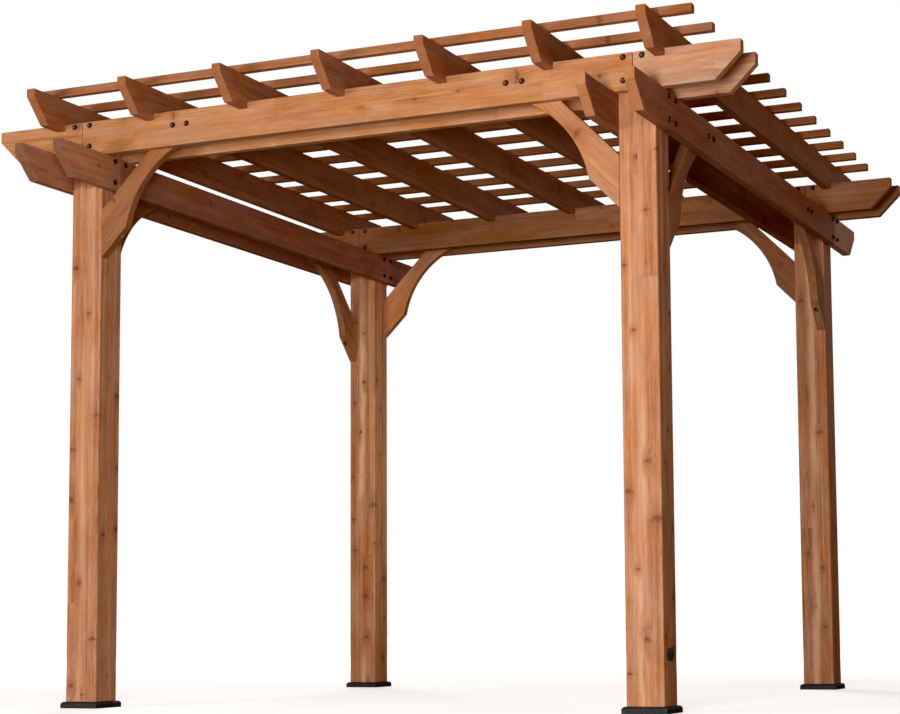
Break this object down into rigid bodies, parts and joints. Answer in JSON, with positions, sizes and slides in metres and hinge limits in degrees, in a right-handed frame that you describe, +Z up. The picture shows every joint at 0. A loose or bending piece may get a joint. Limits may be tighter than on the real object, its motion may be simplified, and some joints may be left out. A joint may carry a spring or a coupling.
{
  "type": "wooden pergola",
  "caption": "Free-standing square garden pergola of cedar, with posts on black plates, doubled bevelled beams, curved knee braces, rafters and slats.",
  "frame": {"origin": "on the ground at the middle of the plan", "axes": "+X along the front to the right, +Y from the front to the back, +Z up"},
  "size_m": [3.128, 3.112, 2.451],
  "materials": {
    "post": "stained cedar, satin",
    "beam": "stained cedar, satin",
    "brace": "stained cedar, satin",
    "rafter": "stained cedar, satin",
    "slat": "stained cedar, satin",
    "plate": "matt black",
    "fastener": "black coated steel"
  },
  "bodies": {
    "root": {"post_front_left": "post", "post_front_right": "post", "post_back_left": "post", "post_back_right": "post", "front_beam_outer": "beam", "front_beam_inner": "beam", "back_beam_outer": "beam", "back_beam_inner": "beam", "left_beam_outer": "beam", "left_beam_inner": "beam", "right_beam_outer": "beam", "right_beam_inner": "beam", "front_beam_left_ends": "beam", "front_beam_right_ends": "beam", "back_beam_left_ends": "beam", "back_beam_right_ends": "beam", "left_beam_front_ends": "beam", "left_beam_back_ends": "beam", "right_beam_front_ends": "beam", "right_beam_back_ends": "beam", "front_brace_left": "brace", "front_brace_right": "brace", "back_brace_left": "brace", "back_brace_right": "brace", "left_brace_front": "brace", "left_brace_back": "brace", "right_brace_front": "brace", "right_brace_back": "brace", "rafter_1": "rafter", "rafter_2": "rafter", "rafter_3": "rafter", "rafter_4": "rafter", "rafter_5": "rafter", "rafter_6": "rafter", "rafter_7": "rafter", "slats_1": "slat", "slats_2": "slat", "slats_3": "slat", "slats_4": "slat", "slats_5": "slat", "slats_6": "slat", "plate_front_left": "plate", "plate_front_right": "plate", "plate_back_left": "plate", "plate_back_right": "plate"}
  },
  "joints": []
}
